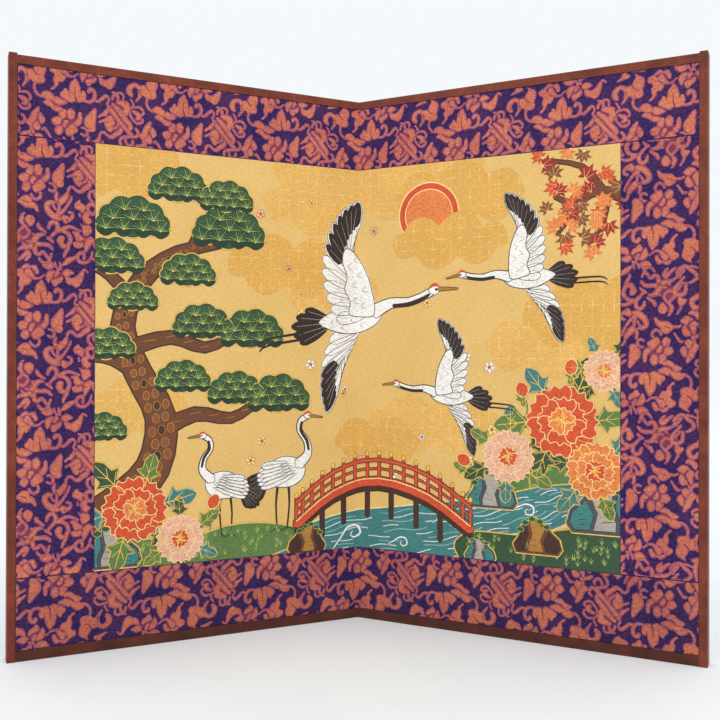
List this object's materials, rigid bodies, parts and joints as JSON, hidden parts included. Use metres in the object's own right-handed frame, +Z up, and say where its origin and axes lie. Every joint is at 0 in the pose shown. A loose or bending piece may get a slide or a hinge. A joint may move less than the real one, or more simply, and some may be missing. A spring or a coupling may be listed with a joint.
{
  "type": "folding screen",
  "caption": "Small folding screen: framed lattice panels faced with brocade and woven silk, hinged by their cloth so that they stand in a V or fold flat.",
  "frame": {"origin": "middle of the footprint's bounding box, on the floor", "axes": "+Z up, +X to the right seen from the picture side, -Y out of the picture side; the fold is at the back in the plane X = 0"},
  "size_m": [0.5284, 0.1374, 0.455],
  "materials": {
    "frame_lacquer": "satin red-brown lacquer",
    "pin_steel": "plain drawn wire",
    "core_cedar": "planed, unfinished",
    "base_paper": "layered handmade paper",
    "hinge_cloth": "plain-weave hinge cloth",
    "back_cloth": "plain-weave backing cloth",
    "edge_cloth": "plain-weave silk",
    "picture_silk": "gold-ground figured silk",
    "border_brocade": "purple brocade with orange peony scrolls"
  },
  "bodies": {
    "left_panel": {"left_frame_stile": "frame_lacquer", "left_frame_top_rail": "frame_lacquer", "left_frame_bottom_rail": "frame_lacquer", "left_frame_pins": "pin_steel", "left_core_outer_stile": "core_cedar", "left_core_fold_stile": "core_cedar", "left_core_top_rail": "core_cedar", "left_core_bottom_rail": "core_cedar", "left_core_vertical_ribs": "core_cedar", "left_core_horizontal_ribs": "core_cedar", "left_core_corner_boards": "core_cedar", "left_front_paper": "base_paper", "left_hinge_leaf": "hinge_cloth", "left_back_paper": "base_paper", "left_back_cloth": "back_cloth", "left_fold_edge_cloth": "edge_cloth", "left_picture_half": "picture_silk", "left_border_top_half": "border_brocade", "left_border_bottom_half": "border_brocade", "left_border_side": "border_brocade"},
    "right_panel": {"right_frame_stile": "frame_lacquer", "right_frame_top_rail": "frame_lacquer", "right_frame_bottom_rail": "frame_lacquer", "right_frame_pins": "pin_steel", "right_core_outer_stile": "core_cedar", "right_core_fold_stile": "core_cedar", "right_core_top_rail": "core_cedar", "right_core_bottom_rail": "core_cedar", "right_core_vertical_ribs": "core_cedar", "right_core_horizontal_ribs": "core_cedar", "right_core_corner_boards": "core_cedar", "right_front_paper": "base_paper", "right_hinge_leaf": "hinge_cloth", "right_back_paper": "base_paper", "right_back_cloth": "back_cloth", "right_fold_edge_cloth": "edge_cloth", "right_picture_half": "picture_silk", "right_border_top_half": "border_brocade", "right_border_bottom_half": "border_brocade", "right_border_side": "border_brocade"}
  },
  "joints": [
    {"name": "panel_fold", "type": "hinge", "parent": "left_panel", "child": "right_panel", "pos_m": [0, 0.05732, 0], "axis": [0, 0, 1], "range_deg": [-128, 52]}
  ]
}
